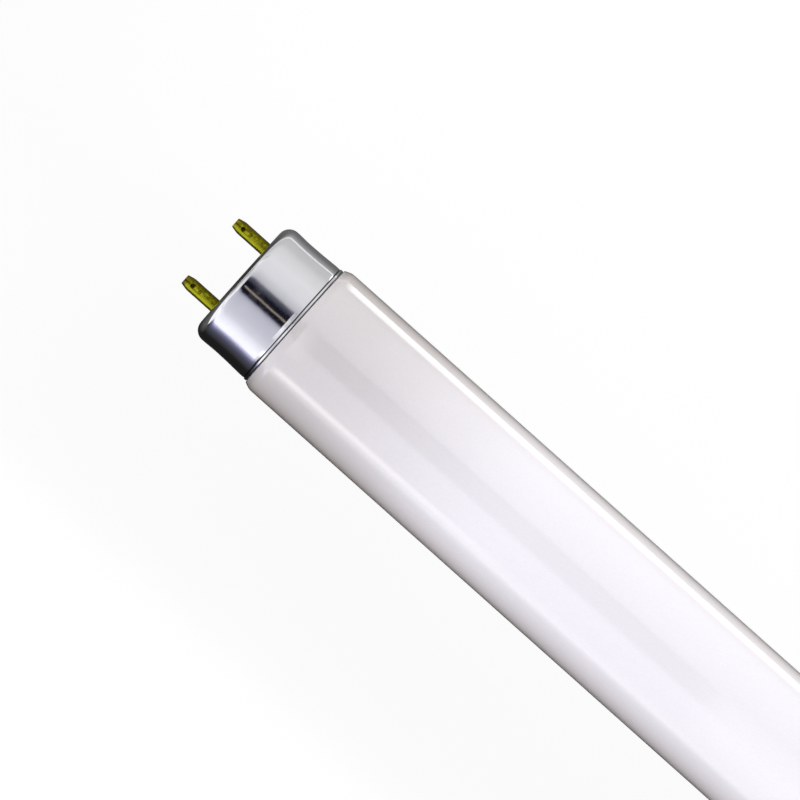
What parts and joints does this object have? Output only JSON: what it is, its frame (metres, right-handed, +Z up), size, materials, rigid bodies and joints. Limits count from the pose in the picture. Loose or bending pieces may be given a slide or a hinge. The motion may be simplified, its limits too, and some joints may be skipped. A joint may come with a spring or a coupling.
{
  "type": "fluorescent tube",
  "caption": "Straight fluorescent lamp: a sealed white glass tube with a bright metal cap and a pair of contact pins at each end.",
  "frame": {"origin": "the lamp's middle: on the tube's axis, halfway between the two caps' end faces", "axes": "+X along the tube's axis towards the right cap; the two pins of each cap lie side by side along Y; +Z is up, square to both"},
  "size_m": [0.6026, 0.026, 0.026],
  "materials": {
    "white_glass": "gloss",
    "cap_aluminium": "polished",
    "pin_brass": "satin",
    "moulded_insulator": "satin",
    "cap_cement": "matte",
    "lead_wire": "satin"
  },
  "bodies": {
    "root": {"glass_tube": "white_glass", "cap_shell_left": "cap_aluminium", "insulator_left": "moulded_insulator", "cement_ring_left": "cap_cement", "pin_left_front": "pin_brass", "lead_wire_left_front": "lead_wire", "pin_left_back": "pin_brass", "lead_wire_left_back": "lead_wire", "cap_shell_right": "cap_aluminium", "insulator_right": "moulded_insulator", "cement_ring_right": "cap_cement", "pin_right_front": "pin_brass", "lead_wire_right_front": "lead_wire", "pin_right_back": "pin_brass", "lead_wire_right_back": "lead_wire"}
  },
  "joints": []
}
